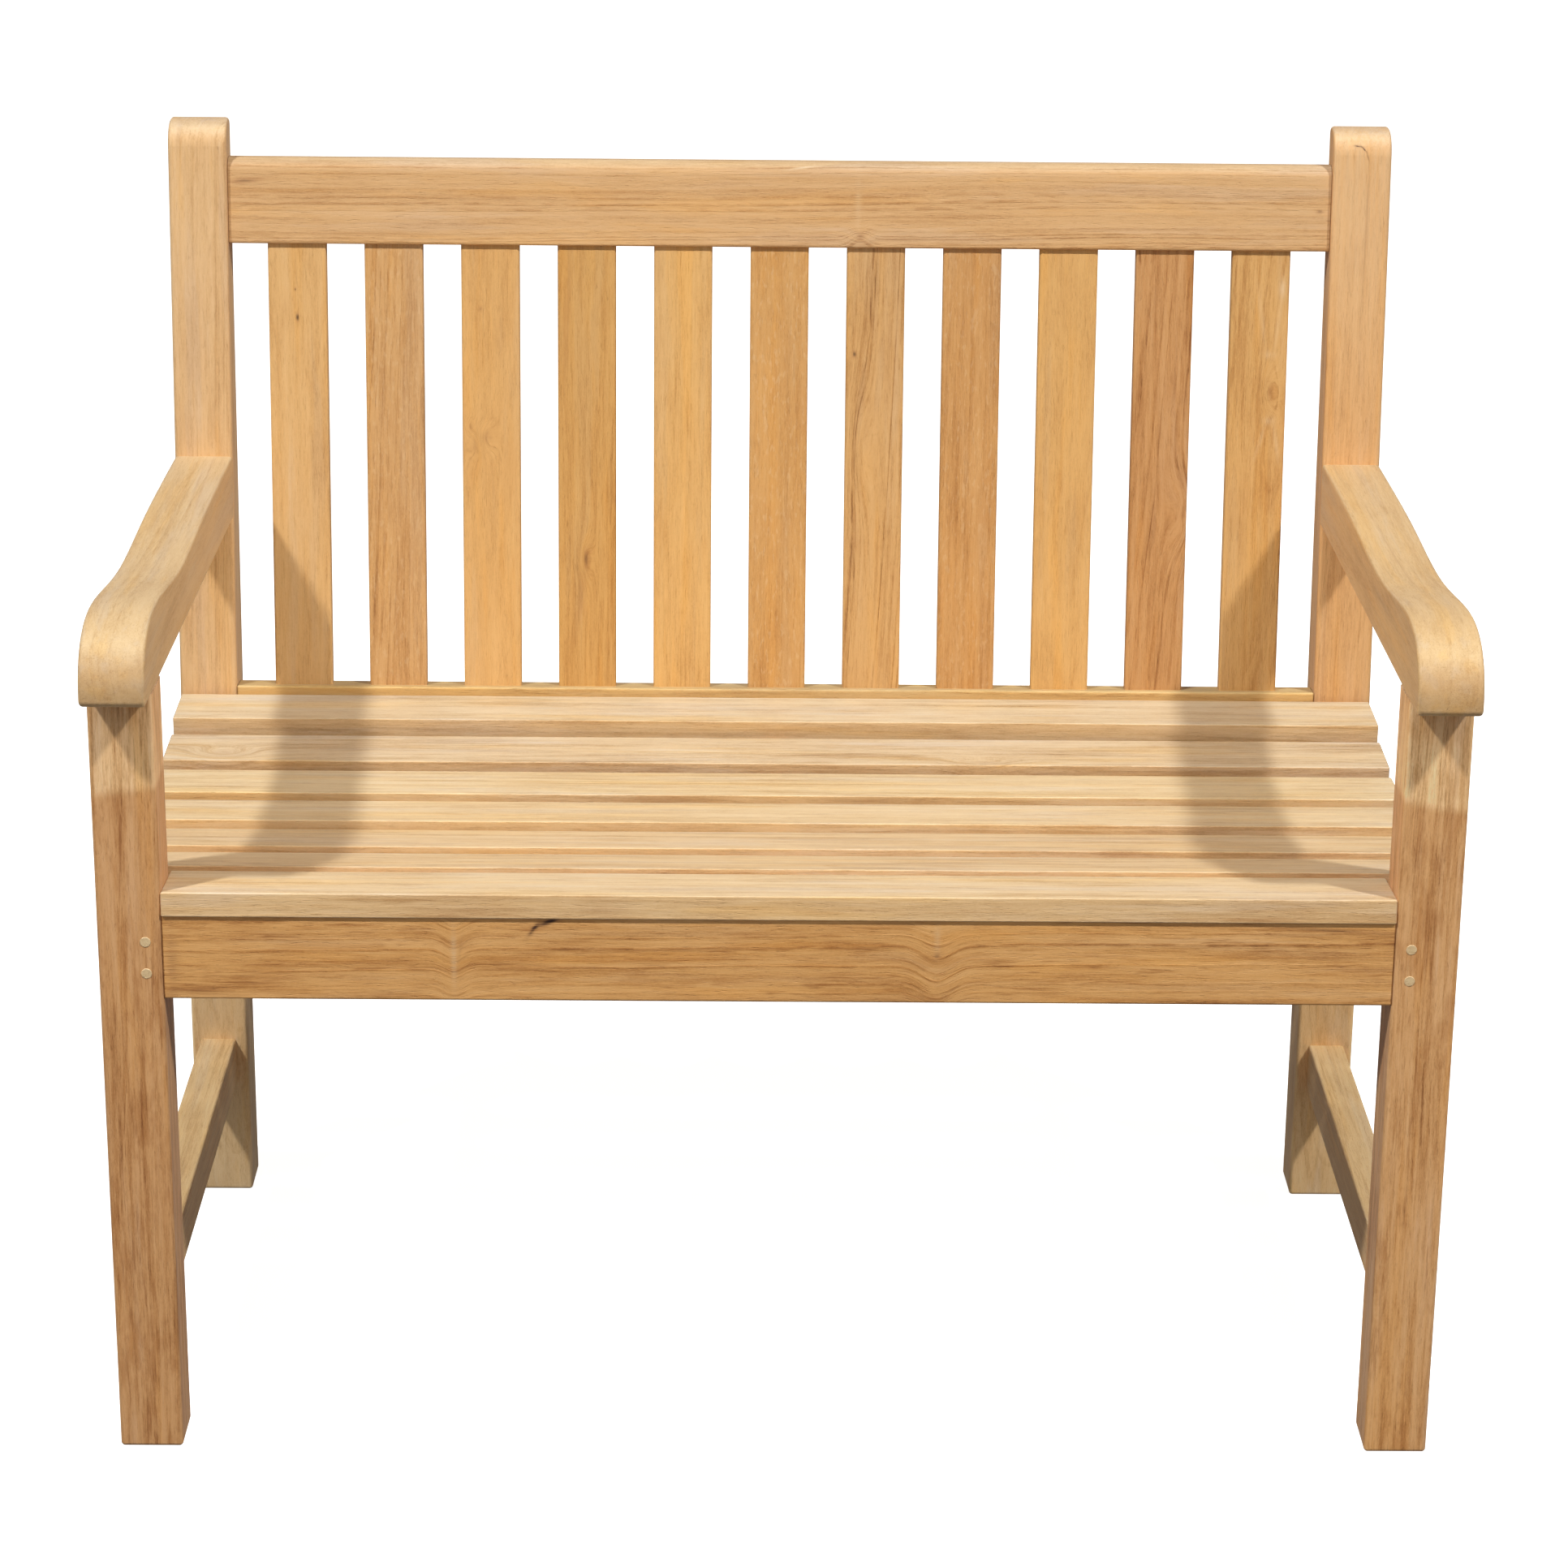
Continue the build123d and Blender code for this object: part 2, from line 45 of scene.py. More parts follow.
# Directions; the rake of the back comes from the face that the record states on the top rail
backrest = next(mount for mount in frame["record"]["mounts"] if mount["name"] == "backrest")
RIGHT = Vector((1.0, 0.0, 0.0))
BACKWARD = Vector((0.0, 1.0, 0.0))
UP = Vector((0.0, 0.0, 1.0))
RAKED_UP = Vector(backrest["axis"]).cross(RIGHT)

# The camera: place in metres, angles in degrees, lens in millimetres on the default sensor
CAMERA_PLACE = Vector((-0.0281, -3.1138, 1.5252))
CAMERA_YAW = 0.61
CAMERA_PITCH_DOWN = 19.08
CAMERA_ROLL = 0.577
CAMERA_LENS = 95.57

# The lights: two ceiling lamps in front of the bench, and a soft front fill
LAMP_PLACES = ((-3.1, -2.6, 5.3), (3.3, -2.6, 5.4))
LAMP_SIZE = 0.38
LAMP_POWER = 255.0
FILL_PLACE = (0.0, -5.5, 2.6)
FILL_SIZE = 4.0
FILL_POWER = 34.0

# The room's own light, from straight down at 0 to straight up at 1
ROOM = (
    (0.0, (0.17, 0.17, 0.18)),
    (0.5, (0.17, 0.17, 0.18)),
    (0.6, (0.25, 0.25, 0.26)),
    (1.0, (0.18, 0.105, 0.045)),
)

# The floor, which glows enough to look plain white
FLOOR_SIZE = 60.0
FLOOR_WHITE = (0.9, 0.9, 0.9)
FLOOR_GLOW_WHITE = (1.0, 1.0, 1.0)
FLOOR_GLOW = 0.88
FLOOR_ROUGHNESS = 0.8

# Colours that the boards share: the heart and the rim of a stain, and bare pale wood
UMBER = (0.07, 0.028, 0.014)
BROWN = (0.36, 0.155, 0.055)
BARE = (0.80, 0.60, 0.36)

# Colours of the pegs' sawn ends and of the screws
PEG_PALE = (0.80, 0.60, 0.33)
PEG_DEEP = (0.64, 0.44, 0.22)
ZINC_DULL = (0.52, 0.50, 0.44)
ZINC_BRIGHT = (0.70, 0.70, 0.68)

# No colour of wood is paler than this in any of its parts
PALEST = 0.95

# What a board's own colour is multiplied by in its palest, deep and darkest grain
TO_PALE = (1.10, 1.17, 1.32)
TO_DEEP = (0.76, 0.67, 0.57)
TO_DARK = (0.46, 0.36, 0.28)

# The same for the slow change of hue over a board
WARM = (1.04, 0.99, 0.86)
COOL = (0.97, 1.01, 1.14)

# The same for the painted sheen on faces that look up, for sawn ends and for the painted highlight on
# arrises
PAINTED_TOP_SHEEN = (0.97, 1.12, 1.36)
END_GRAIN = (0.88, 0.86, 0.86)
PAINTED_ARRIS_HIGHLIGHT = (1.06, 1.10, 1.16)

# The same for short dark streaks, soft brown patches, freshly sanded wood and the painted floor light on
# feet
DASH = (0.66, 0.56, 0.48)
BLOTCH = (0.82, 0.74, 0.66)
FRESH = (1.32, 1.60, 1.95)
PAINTED_FOOT_LIGHT = (1.30, 1.50, 1.68)

# Where the tone of the wood is palest, the board's own, deep and darkest
PALE_TONE = 0.0
OWN_TONE = 0.38
DEEP_TONE = 0.74
DARK_TONE = 1.0

# The tone that the layers of the grain change, and how far each of them changes it
MIDDLE_TONE = 0.36
LINE_WEIGHT = 0.50
BAND_WEIGHT = 0.9
BROAD_WEIGHT = 0.9
FINE_WEIGHT = 0.65
CLOUD_WEIGHT = 0.45
FIBRE_WEIGHT = 0.45
SPECKLE_WEIGHT = 0.30
PORE_WEIGHT = 0.12

# Gloss and relief of sanded teak without oil
SMOOTHEST = 0.46
FIBRE_ROUGHNESS = 0.20
PORE_ROUGHNESS = 0.12
LINE_HEIGHT = 0.3
FIBRE_HEIGHT = 0.5
PORE_DEPTH = 0.5
RELIEF = 0.35 * MM
RELIEF_STRENGTH = 0.8
SPECULAR = 0.4
SHEEN = 0.12
SHEEN_ROUGHNESS = 0.4

# The logs: the step from one board's noise to the next, and from its rings to the next
LOG_STEPS = (1.7, 0.61, 0.37)
YEARS_APART = 7.3

# The grain: how far it wavers, what share of its lean is outwards, and how uneven years are
WAVER_REACH = 10 * MM
LEAN_OUT = 0.6
UNEVEN_YEARS = 1.6

# Within a year the dark line sets in slowly and ends fast; a weak line keeps some strength
LINE_SETS_IN = (0.35, 0.92)
LINE_ENDS = (1.0, 0.93)
WEAKEST_LINE = 0.1
WEAKEST_BREAK = 0.25

# Where the hue turns warm and where it turns cool
WARM_FROM = (0.52, 0.68)
COOL_FROM = (0.48, 0.34)

# A freshly sanded leg end: its soft edge and its fading upwards, in metres above its line
FRESH_EDGE = (-0.001, 0.009)
FRESH_FADE = (0.01, 0.09)
FRESH_LEFT = 0.65
FRESH_WAVER = 1.2

# Painted floor light on the feet sets in between these heights above the middle of the leg, in metres
PAINTED_FOOT_LIGHT_FROM = -0.15
PAINTED_FOOT_LIGHT_TO = -0.34

# Stains show on faces that look forward or up, and their strength follows the fine grain
SEEN_SIDE = (0.0, -0.7, 0.7)
SEEN_FROM = (0.2, 0.5)
RAGGED_GRAIN = (0.35, 0.62)
RAGGED_SHARE = (0.55, 1.15)
STAIN_HEART = (0.25, 0.80)
KNOT_HEART = 0.4

# How squarely a face must look up to count as a top, or along the grain to count as an end, and
# how askew to all three ways to count as an arris, whose painted highlight is uneven
SKYWARD_FROM = (0.35, 0.9)
END_FROM = (0.6, 0.9)
ARRIS_FROM = (0.97, 0.80)
ARRIS_GRAIN = (0.30, 0.60)
ARRIS_SHARE = (0.3, 1.0)

# The shoulders of the long rails meet the legs' inner faces, with a thin dark seam
SHOULDER = -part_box("front_leg_left")[1].x
SEAM = 0.9 * MM


class Pattern(NamedTuple):
    """A noise around 0.5.

    Waves are to the metre: along the grain, across it and out of the face.  A pattern of rings
    has one number of waves instead, to the year.  As a share, a pattern counts for nothing up
    to low and in full from high.
    """

    waves: tuple
    detail: float = 2.0
    roughness: float = 0.5
    low: float = 0.0
    high: float = 1.0


# Patterns that follow the grain, from the broadest to the finest
HUES = Pattern((4.0, 55.0, 55.0), detail=3.0, roughness=0.6)
BROAD = Pattern((5.0, 130.0, 130.0), detail=3.0, roughness=0.6)
CLUSTERS = Pattern((6.0, 45.0, 45.0), low=0.40, high=0.62)
FINE = Pattern((16.0, 420.0, 420.0), detail=3.0, roughness=0.65)
DASHES = Pattern((24.0, 420.0, 420.0), detail=3.0, roughness=0.6, low=0.54, high=0.68)
BREAKS = Pattern((45.0, 300.0, 300.0), low=0.38, high=0.60)
FIBRES = Pattern((70.0, 1100.0, 1100.0), roughness=0.6)
PORES = Pattern((110.0, 1500.0, 1500.0), detail=1.0, low=0.60, high=0.72)
FLECKS = Pattern((120.0, 380.0, 380.0), low=0.55, high=0.70)
SPECKLE = Pattern((450.0, 1300.0, 1300.0), detail=1.0)

# Patterns that don't follow it
WAVER = Pattern((2.5, 14.0, 14.0))
CLOUDS = Pattern((5.0, 18.0, 18.0))
BLOTCHES = Pattern((14.0, 56.0, 56.0), detail=5.0, roughness=0.7, low=0.47, high=0.64)

# Patterns from year to year: the width, the strength and the tone of the rings
RING_WIDTHS = Pattern(0.8, roughness=0.6)
RING_STRENGTHS = Pattern(0.37, detail=1.0, low=0.36, high=0.62)
RING_TONES = Pattern(0.45, detail=4.0, roughness=0.7)

# The pegs' ends: rings, whose low and high are where the two colours lie, and open pores
PEG_RINGS = Pattern((30.0, 160.0, 700.0), detail=3.0, roughness=0.6, low=0.35, high=0.75)
PEG_PORES = Pattern((60.0, 1400.0, 1400.0), detail=1.0, low=0.56, high=0.70)
PEG_PORE_WEIGHT = 0.2
PEG_ROUGHNESS = (0.55, 0.75)
PEG_RELIEF = 0.2 * MM
PEG_RELIEF_STRENGTH = 0.6

# The screws: clouds, whose low and high are where the two colours lie, and fine scratches
ZINC_CLOUDS = Pattern((300.0, 300.0, 300.0), detail=3.0, low=0.3, high=0.7)
ZINC_SCRATCHES = Pattern((1500.0, 1500.0, 200.0), low=0.3, high=0.7)
ZINC_ROUGHNESS = (0.28, 0.5)
ZINC_RELIEF = 0.1 * MM
ZINC_RELIEF_STRENGTH = 0.4


class Knot(NamedTuple):
    """A place on the visible face where the grain bends: a knot, a swirl or a spike band.

    Places and reaches are in millimetres from the middle of the board, along the grain
    and across it.  Lift is how far the grain is pushed, and dark how strong its stain is.
    """

    along: float
    across: float
    length: float
    width: float
    lift: float
    dark: float = 0.0
    slant: float = 0.0


class Mark(NamedTuple):
    """A stain, a scratch or a streak on the visible face, darker or, below zero, paler.

    Its place and reach are in millimetres, as a knot's are, and its slant is in degrees.
    """

    along: float
    across: float
    length: float
    width: float
    slant: float
    dark: float


class Board(NamedTuple):
    """How one board looks.

    Rings, streaks, flecks, dashes and blotches say how strongly each of them shows.  The
    rings are so many millimetres wide, about a pith that lies across from the board's middle
    and out of its face, in millimetres, and leans that much to the metre.  One number says
    how much painted sheen pales a face that looks up, and another how much painted floor
    light pales the lower end of a leg.  A leg is freshly sanded above a height in millimetres,
    on a line of some slope.  A seam darkens the board at both of its shoulders.
    """

    colour: tuple
    contrast: float = 1.0
    rings: float = 0.5
    ring_width: float = 4.5
    streaks: float = 1.0
    flecks: float = 0.0
    pith: tuple = (25.0, -40.0)
    lean: float = 0.03
    painted_top_sheen: float = 1.0
    dashes: float = 0.15
    blotches: float = 0.3
    fresh_above: tuple = ()
    pale_foot: float = 0.0
    seam: bool = False
    knots: tuple = ()
    marks: tuple = ()


class Grain(NamedTuple):
    """What a board's colour and relief are made from, as output sockets."""

    place: object
    shifted: object
    waver: object
    follow: object
    lines: object
    bands: object
    fine: object
    fibres: object
    pores: object


def tinted(colour, factors):
    """A colour with each of its parts multiplied."""
    return tuple(min(part * factor, PALEST) for part, factor in zip(colour, factors))


def set_ramp(ramp, stops):
    """Gives a colour ramp its (place, colour) stops, from the lowest place to the highest."""
    while len(ramp.elements) < len(stops):
        ramp.elements.new(1.0)
    for element, (place, colour) in zip(ramp.elements, stops):
        element.position = place
        element.color = (*colour, 1.0)


class Graph:
    """The shader nodes of one material, added by short calls that return output sockets."""

    def __init__(self, name):
        self.material = bpy.data.materials.new(name)
        self.material.use_nodes = True
        self.tree = self.material.node_tree
        self.shader = self.tree.nodes["Principled BSDF"]

    def add(self, kind, **settings):
        """A new shader node with some of its settings."""
        node = self.tree.nodes.new("ShaderNode" + kind)
        for key, value in settings.items():
            setattr(node, key, value)
        return node

    def feed(self, socket, value):
        """Links an output to a socket, or sets the socket's own value."""
        if isinstance(value, bpy.types.NodeSocket):
            self.tree.links.new(value, socket)
        elif socket.type == "RGBA":
            socket.default_value = (*value, 1.0)
        else:
            socket.default_value = value

    def feed_all(self, sockets, values):
        """Feeds sockets one by one."""
        for socket, value in zip(sockets, values):
            self.feed(socket, value)

    def paint(self, name, value):
        """Feeds one of the shader's own sockets."""
        self.feed(self.shader.inputs[name], value)

    def math(self, operation, *values, clamp=False):
        """A number worked out from others."""
        node = self.add("Math", operation=operation, use_clamp=clamp)
        self.feed_all(node.inputs, values)
        return node.outputs[0]

    def vector(self, operation, *values):
        """A vector, or its length or dot product, worked out from others."""
        node = self.add("VectorMath", operation=operation)
        self.feed_all(node.inputs, values)
        scalar = operation in ("LENGTH", "DOT_PRODUCT")
        return node.outputs["Value" if scalar else "Vector"]

    def combine(self, x, y, z):
        """A vector from three numbers."""
        node = self.add("CombineXYZ")
        self.feed_all(node.inputs, (x, y, z))
        return node.outputs[0]

    def split(self, vector):
        """The three numbers of a vector."""
        node = self.add("SeparateXYZ")
        self.feed(node.inputs[0], vector)
        return node.outputs

    def normal(self):
        """The direction that the surface faces."""
        return self.add("TexCoord").outputs["Normal"]

    def texture(self, pattern, dimensions, name, value, scale):
        """A noise texture read at a vector or, in one dimension, at a number."""
        node = self.add("TexNoise", noise_dimensions=dimensions)
        self.feed(node.inputs[name], value)
        self.feed(node.inputs["Scale"], scale)
        self.feed(node.inputs["Detail"], pattern.detail)
        self.feed(node.inputs["Roughness"], pattern.roughness)
        return node.outputs

    def noises(self, vector, pattern):
        """A pattern at a point, as a number and as a vector."""
        scaled = self.vector("MULTIPLY", vector, pattern.waves)
        return self.texture(pattern, "3D", "Vector", scaled, 1.0)

    def noise(self, vector, pattern):
        """A pattern at a point, as a number."""
        return self.noises(vector, pattern)[0]

    def line_noise(self, value, pattern):
        """A pattern that depends on one number only."""
        return self.texture(pattern, "1D", "W", value, pattern.waves)[0]

    def share(self, vector, pattern):
        """How much a pattern counts at a point, from 0 to 1."""
        return self.spread(self.noise(vector, pattern), pattern.low, pattern.high)

    def spread(self, value, low, high, to_low=0.0, to_high=1.0):
        """A number moved smoothly from one range to another and held at its ends."""
        node = self.add("MapRange", interpolation_type="SMOOTHSTEP")
        self.feed_all(node.inputs, (value, low, high, to_low, to_high))
        return node.outputs[0]

    def mix(self, share, first, second):
        """A share of the second colour in the first."""
        node = self.add("Mix", data_type="RGBA")
        self.feed(node.inputs[0], share)
        self.feed_all([socket for socket in node.inputs if socket.type == "RGBA"], (first, second))
        return next(socket for socket in node.outputs if socket.type == "RGBA")

    def tint(self, share, colour, factors):
        """A colour, more and more multiplied by three factors."""
        node = self.add("Mix", data_type="VECTOR")
        self.feed(node.inputs[0], share)
        ends = [socket for socket in node.inputs if socket.type == "VECTOR" and socket.name in "AB"]
        self.feed_all(ends, ((1.0, 1.0, 1.0), factors))
        ratio = next(socket for socket in node.outputs if socket.type == "VECTOR")
        return self.vector("MULTIPLY", colour, ratio)

    def ramp(self, value, stops):
        """A colour read from a ramp of (place, colour) stops."""
        node = self.add("ValToRGB")
        set_ramp(node.color_ramp, stops)
        self.feed(node.inputs[0], value)
        return node.outputs[0]

    def bump(self, height, distance, strength):
        """Relief, with its height in metres for a value of one."""
        node = self.add("Bump")
        self.feed(node.inputs["Height"], height)
        self.feed(node.inputs["Distance"], distance)
        self.feed(node.inputs["Strength"], strength)
        self.paint("Normal", node.outputs[0])


def bell(g, place, spot):
    """1 at the middle of a knot or mark, falling smoothly to 0 round it, right through the board."""
    along, across, _ = g.split(place)
    away = g.combine(
        g.math("SUBTRACT", along, spot.along * MM),
        g.math("SUBTRACT", across, spot.across * MM),
        0.0,
    )
    turn = math.radians(spot.slant)
    length = spot.length * MM
    width = spot.width * MM
    scaled = g.combine(
        g.vector("DOT_PRODUCT", away, (math.cos(turn) / length, math.sin(turn) / length, 0.0)),
        g.vector("DOT_PRODUCT", away, (-math.sin(turn) / width, math.cos(turn) / width, 0.0)),
        0.0,
    )
    squared = g.vector("DOT_PRODUCT", scaled, scaled)
    return g.math("EXPONENT", g.math("MULTIPLY", squared, -1.0))


def total(g, values):
    """The sum of some outputs, or zero."""
    result = 0.0
    for value in values:
        result = g.math("ADD", value, result)
    return result


def board_space(g, to_board):
    """The shaded point in the board's own frame: along the grain, across it, and out of its face."""
    mapping = g.add("Mapping", vector_type="POINT")
    g.feed(mapping.inputs["Vector"], g.add("TexCoord").outputs["Object"])
    mapping.inputs["Rotation"].default_value = to_board.to_euler()
    mapping.inputs["Location"].default_value = to_board.translation
    return mapping.outputs[0]


def facing(g, axis):
    """How squarely the surface faces along an axis, either way."""
    return g.math("ABSOLUTE", g.vector("DOT_PRODUCT", g.normal(), tuple(axis)))


def from_pith(g, place, look):
    """How far a point is from the pith of its log."""
    along, across, out = g.split(place)
    pith_across, pith_out = look.pith
    heart_across = g.math("MULTIPLY_ADD", along, look.lean, pith_across * MM)
    heart_out = g.math("MULTIPLY_ADD", along, look.lean * LEAN_OUT, pith_out * MM)
    away = g.combine(
        0.0,
        g.math("SUBTRACT", across, heart_across),
        g.math("SUBTRACT", out, heart_out),
    )
    return g.vector("LENGTH", away)


def growth_rings(g, place, lifted, look, seed):
    """Dark latewood lines, and the slow change of tone from ring to ring."""
    radius = g.math("ADD", from_pith(g, place, look), lifted)
    years = g.math("MULTIPLY_ADD", radius, 1 / (look.ring_width * MM), YEARS_APART * seed)
    uneven = g.line_noise(years, RING_WIDTHS)
    season = g.math("FRACT", g.math("MULTIPLY_ADD", uneven, UNEVEN_YEARS, years))
    line = g.math("MULTIPLY", g.spread(season, *LINE_SETS_IN), g.spread(season, *LINE_ENDS))
    strength = g.line_noise(years, RING_STRENGTHS)
    strength = g.spread(strength, RING_STRENGTHS.low, RING_STRENGTHS.high, WEAKEST_LINE, 1.0)
    return g.math("MULTIPLY", line, strength), g.line_noise(years, RING_TONES)


def read_grain(g, place, look, seed):
    """The grain of one board, which wavers along it and turns round its knots."""
    origin = tuple(step * seed for step in LOG_STEPS)
    shifted = g.vector("ADD", place, origin)
    waver = g.vector("SUBTRACT", g.noises(shifted, WAVER)[1], (0.5, 0.5, 0.5))
    waver = g.vector("MULTIPLY", waver, (0.0, WAVER_REACH, WAVER_REACH))
    wavy = g.vector("ADD", place, waver)
    lifted = total(g, [g.math("MULTIPLY", bell(g, place, knot), knot.lift * MM) for knot in look.knots])
    lines, bands = growth_rings(g, wavy, lifted, look, seed)
    along, across, out = g.split(wavy)
    follow = g.vector("ADD", g.combine(along, g.math("ADD", across, lifted), out), origin)
    return Grain(
        place=place,
        shifted=shifted,
        waver=waver,
        follow=follow,
        lines=lines,
        bands=bands,
        fine=g.noise(follow, FINE),
        fibres=g.noise(follow, FIBRES),
        pores=g.share(follow, PORES),
    )


def tone_of(g, grain, look):
    """How dark the wood is, before stains and wear."""
    breaks = g.spread(g.noise(grain.follow, BREAKS), BREAKS.low, BREAKS.high, WEAKEST_BREAK, 1.0)
    tone = g.math("MULTIPLY", g.math("MULTIPLY", grain.lines, breaks), LINE_WEIGHT * look.rings)
    layers = (
        (grain.bands, BAND_WEIGHT * look.rings),
        (g.noise(grain.follow, BROAD), BROAD_WEIGHT * look.streaks),
        (grain.fine, FINE_WEIGHT * look.streaks),
        (g.noise(grain.shifted, CLOUDS), CLOUD_WEIGHT),
        (grain.fibres, FIBRE_WEIGHT),
        (g.noise(grain.follow, SPECKLE), SPECKLE_WEIGHT),
    )
    for layer, weight in layers:
        tone = g.math("MULTIPLY_ADD", g.math("SUBTRACT", layer, 0.5), weight, tone)
    tone = g.math("MULTIPLY_ADD", grain.pores, PORE_WEIGHT, tone)
    return g.math("MULTIPLY_ADD", tone, look.contrast, MIDDLE_TONE)


def grain_colour(g, grain, look):
    """The board's own colour, from pale to dark with its grain and from warm to cool."""
    stops = (
        (PALE_TONE, tinted(look.colour, TO_PALE)),
        (OWN_TONE, look.colour),
        (DEEP_TONE, tinted(look.colour, TO_DEEP)),
        (DARK_TONE, tinted(look.colour, TO_DARK)),
    )
    colour = g.ramp(tone_of(g, grain, look), stops)
    hue = g.noise(grain.follow, HUES)
    colour = g.tint(g.spread(hue, *WARM_FROM), colour, WARM)
    return g.tint(g.spread(hue, *COOL_FROM), colour, COOL)


def figure(g, grain, look, colour):
    """Pale flecks, short dark streaks that come in clusters, and soft brown patches."""
    if look.flecks:
        flecks = g.math("MULTIPLY", g.share(grain.follow, FLECKS), look.flecks)
        colour = g.mix(flecks, colour, BARE)
    dashes = g.math("MULTIPLY", g.share(grain.follow, DASHES), g.share(grain.follow, CLUSTERS))
    colour = g.tint(g.math("MULTIPLY", dashes, look.dashes), colour, DASH)
    blotches = g.math("MULTIPLY", g.share(grain.shifted, BLOTCHES), look.blotches)
    return g.tint(blotches, colour, BLOTCH)


def freshen(g, grain, look, colour):
    """The upper end of a leg, paler down to a slanting, wavering line, as if sanded again."""
    height, slope = look.fresh_above
    along, across, _ = g.split(grain.place)
    line = g.math("MULTIPLY_ADD", across, -slope, along)
    line = g.math("MULTIPLY_ADD", g.split(grain.waver)[1], FRESH_WAVER, line)
    above = g.math("SUBTRACT", line, height * MM)
    fade = g.spread(above, *FRESH_FADE, 1.0, FRESH_LEFT)
    return g.tint(g.math("MULTIPLY", g.spread(above, *FRESH_EDGE), fade), colour, FRESH)


def pale_foot(g, grain, look, colour):
    """Painted floor light on the lower end of a leg, paler towards the floor."""
    foot = g.spread(g.split(grain.place)[0], PAINTED_FOOT_LIGHT_FROM, PAINTED_FOOT_LIGHT_TO, 0.0, look.pale_foot)
    return g.tint(foot, colour, PAINTED_FOOT_LIGHT)


def knot_hearts(look):
    """The stains in the middle of a board's knots."""
    return [
        Mark(knot.along, knot.across, knot.length * KNOT_HEART, knot.width * KNOT_HEART, 0.0, knot.dark)
        for knot in look.knots
        if knot.dark
    ]


def covered(g, grain, marks, ragged):
    """How much some marks cover a point together."""
    shapes = [g.math("MULTIPLY", bell(g, grain.place, mark), abs(mark.dark)) for mark in marks]
    return g.math("MULTIPLY", total(g, shapes), ragged, clamp=True)


def stain(g, grain, look, colour):
    """Pale marks, and over them the dark ones, all on faces that look forward or up."""
    pale = [mark for mark in look.marks if mark.dark < 0]
    dark = knot_hearts(look) + [mark for mark in look.marks if mark.dark > 0]
    seen = g.spread(g.vector("DOT_PRODUCT", g.normal(), SEEN_SIDE), *SEEN_FROM)
    ragged = g.math("MULTIPLY", g.spread(grain.fine, *RAGGED_GRAIN, *RAGGED_SHARE), seen)
    if pale:
        colour = g.mix(covered(g, grain, pale, ragged), colour, BARE)
    if dark:
        share = covered(g, grain, dark, ragged)
        colour = g.mix(share, colour, g.mix(g.spread(share, *STAIN_HEART), BROWN, UMBER))
    return colour


def painted_sheen_dark_ends_and_highlights(g, grain, look, axes, colour):
    """Painted sheen pales faces that look up, ends are darker, and a painted highlight pales the
    arrises.
    """
    # Painted sheen on faces that look up
    top_sheen_share = g.spread(g.split(g.normal())[2], *SKYWARD_FROM, 0.0, look.painted_top_sheen)
    colour = g.tint(top_sheen_share, colour, PAINTED_TOP_SHEEN)
    lengthways, sideways, outwards = (facing(g, axis) for axis in axes)
    colour = g.tint(g.spread(lengthways, *END_FROM), colour, END_GRAIN)
    squareness = g.math("MAXIMUM", lengthways, g.math("MAXIMUM", sideways, outwards))
    # Painted highlight along the arrises, uneven with the fine grain
    arris_highlight_share = g.spread(grain.fine, *ARRIS_GRAIN, *ARRIS_SHARE)
    return g.tint(g.math("MULTIPLY", g.spread(squareness, *ARRIS_FROM), arris_highlight_share), colour, PAINTED_ARRIS_HIGHLIGHT)


def seam(g, grain, colour):
    """The dark line where each shoulder of a long rail meets its leg."""
    edge = g.math("SUBTRACT", g.math("ABSOLUTE", g.split(grain.place)[0]), SHOULDER - SEAM)
    return g.tint(g.spread(edge, 0.0, SEAM / 2), colour, TO_DARK)


def finish_surface(g, grain):
    """Gloss, relief and sheen."""
    rough = g.math("MULTIPLY_ADD", grain.fibres, FIBRE_ROUGHNESS, SMOOTHEST)
    g.paint("Roughness", g.math("MULTIPLY_ADD", grain.pores, PORE_ROUGHNESS, rough, clamp=True))
    fibres = g.math("MULTIPLY", grain.fibres, FIBRE_HEIGHT)
    relief = g.math("MULTIPLY_ADD", grain.lines, LINE_HEIGHT, fibres)
    relief = g.math("SUBTRACT", relief, g.math("MULTIPLY", grain.pores, PORE_DEPTH))
    g.bump(relief, RELIEF, RELIEF_STRENGTH)
    g.paint("Specular IOR Level", SPECULAR)
    g.paint("Sheen Weight", SHEEN)
    g.paint("Sheen Roughness", SHEEN_ROUGHNESS)


def wood(name, to_board, look, seed):
    """Sanded teak, cut from a log of its own, with its grain along the board."""
    g = Graph(name)
    grain = read_grain(g, board_space(g, to_board), look, seed)
    colour = figure(g, grain, look, grain_colour(g, grain, look))
    if look.fresh_above:
        colour = freshen(g, grain, look, colour)
    # Painted floor light on the feet of the rear legs
    if look.pale_foot:
        colour = pale_foot(g, grain, look, colour)
    colour = stain(g, grain, look, colour)
    # Painted sheen on tops, darker sawn ends, and a painted highlight on arrises
    colour = painted_sheen_dark_ends_and_highlights(g, grain, look, to_board.to_3x3(), colour)
    if look.seam:
        colour = seam(g, grain, colour)
    g.paint("Base Color", g.vector("MINIMUM", colour, (PALEST, PALEST, PALEST)))
    finish_surface(g, grain)
    return g.material


def dowel(name, to_board):
    """The pale sawn ends of the pegs: rings and open pores seen end on."""
    g = Graph(name)
    place = board_space(g, to_board)
    pores = g.share(place, PEG_PORES)
    tone = g.math("MULTIPLY_ADD", pores, PEG_PORE_WEIGHT, g.noise(place, PEG_RINGS))
    g.paint("Base Color", g.ramp(tone, ((PEG_RINGS.low, PEG_PALE), (PEG_RINGS.high, PEG_DEEP))))
    g.paint("Roughness", g.spread(pores, 0.0, 1.0, *PEG_ROUGHNESS))
    g.bump(g.math("MULTIPLY", pores, -1.0), PEG_RELIEF, PEG_RELIEF_STRENGTH)
    return g.material


